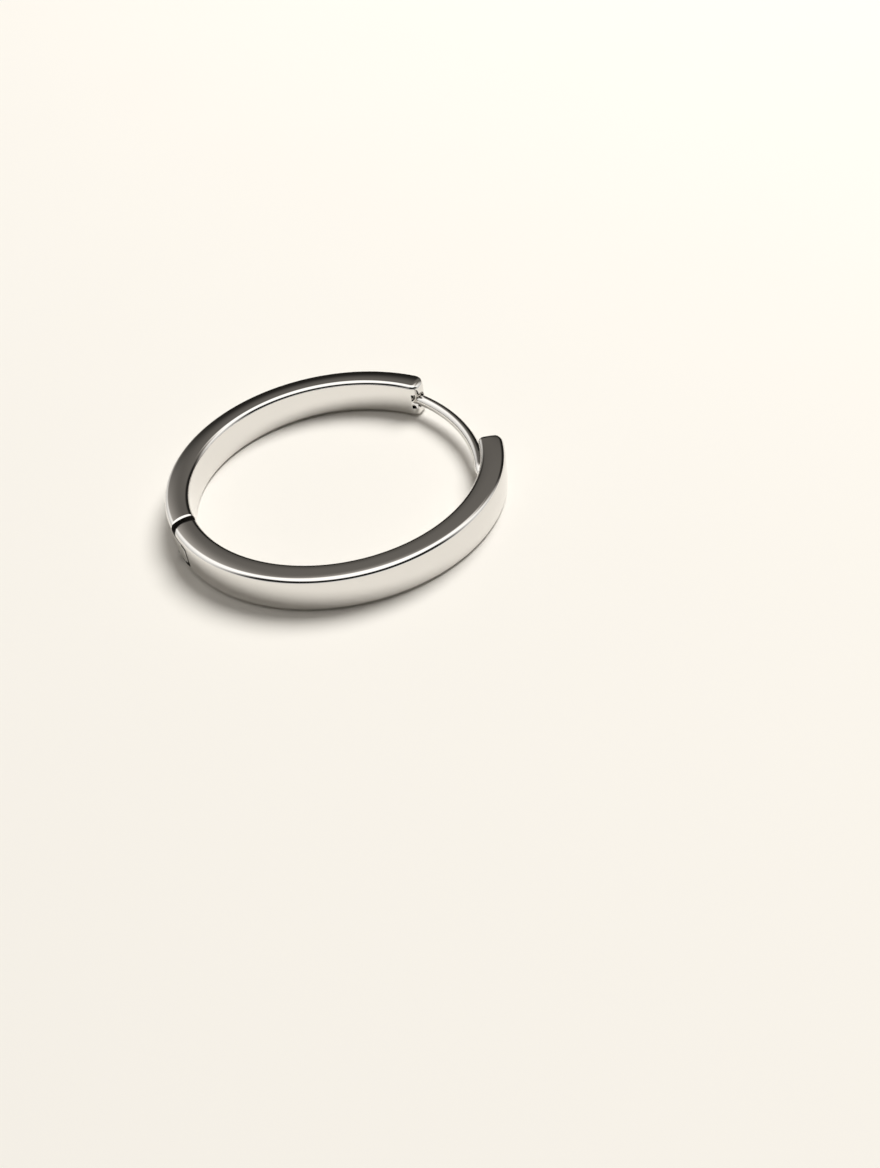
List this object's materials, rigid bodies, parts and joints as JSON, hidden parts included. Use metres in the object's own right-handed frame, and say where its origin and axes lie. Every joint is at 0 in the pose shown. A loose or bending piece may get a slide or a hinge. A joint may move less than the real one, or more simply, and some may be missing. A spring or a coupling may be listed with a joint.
{
  "type": "hinged hoop earring",
  "caption": "Round hinged hoop earring in polished silver-coloured metal, with flat-sided bars, a fork and knuckle hinge and a curved ear post across the gap.",
  "frame": {"origin": "centre of the hoop on the plane of its underside, where it lies on its side", "axes": "+Z along the hoop's axis and the hinge pin, out of the side that faces up; +X towards the front half's free end; +Y towards the back half"},
  "size_m": [0.025, 0.025, 0.0028],
  "materials": {
    "polished_bar": "mirror polish with fine wiping marks",
    "pin_metal": "plain turned pin"
  },
  "bodies": {
    "front": {"front_half": "polished_bar", "hinge_pin": "pin_metal"},
    "back": {"back_half": "polished_bar"}
  },
  "joints": [
    {"name": "hinge", "type": "hinge", "parent": "front", "child": "back", "pos_m": [-0.01011, -0.00511, 0.0014], "axis": [0, 0, 1], "range_deg": [0, 45]}
  ]
}
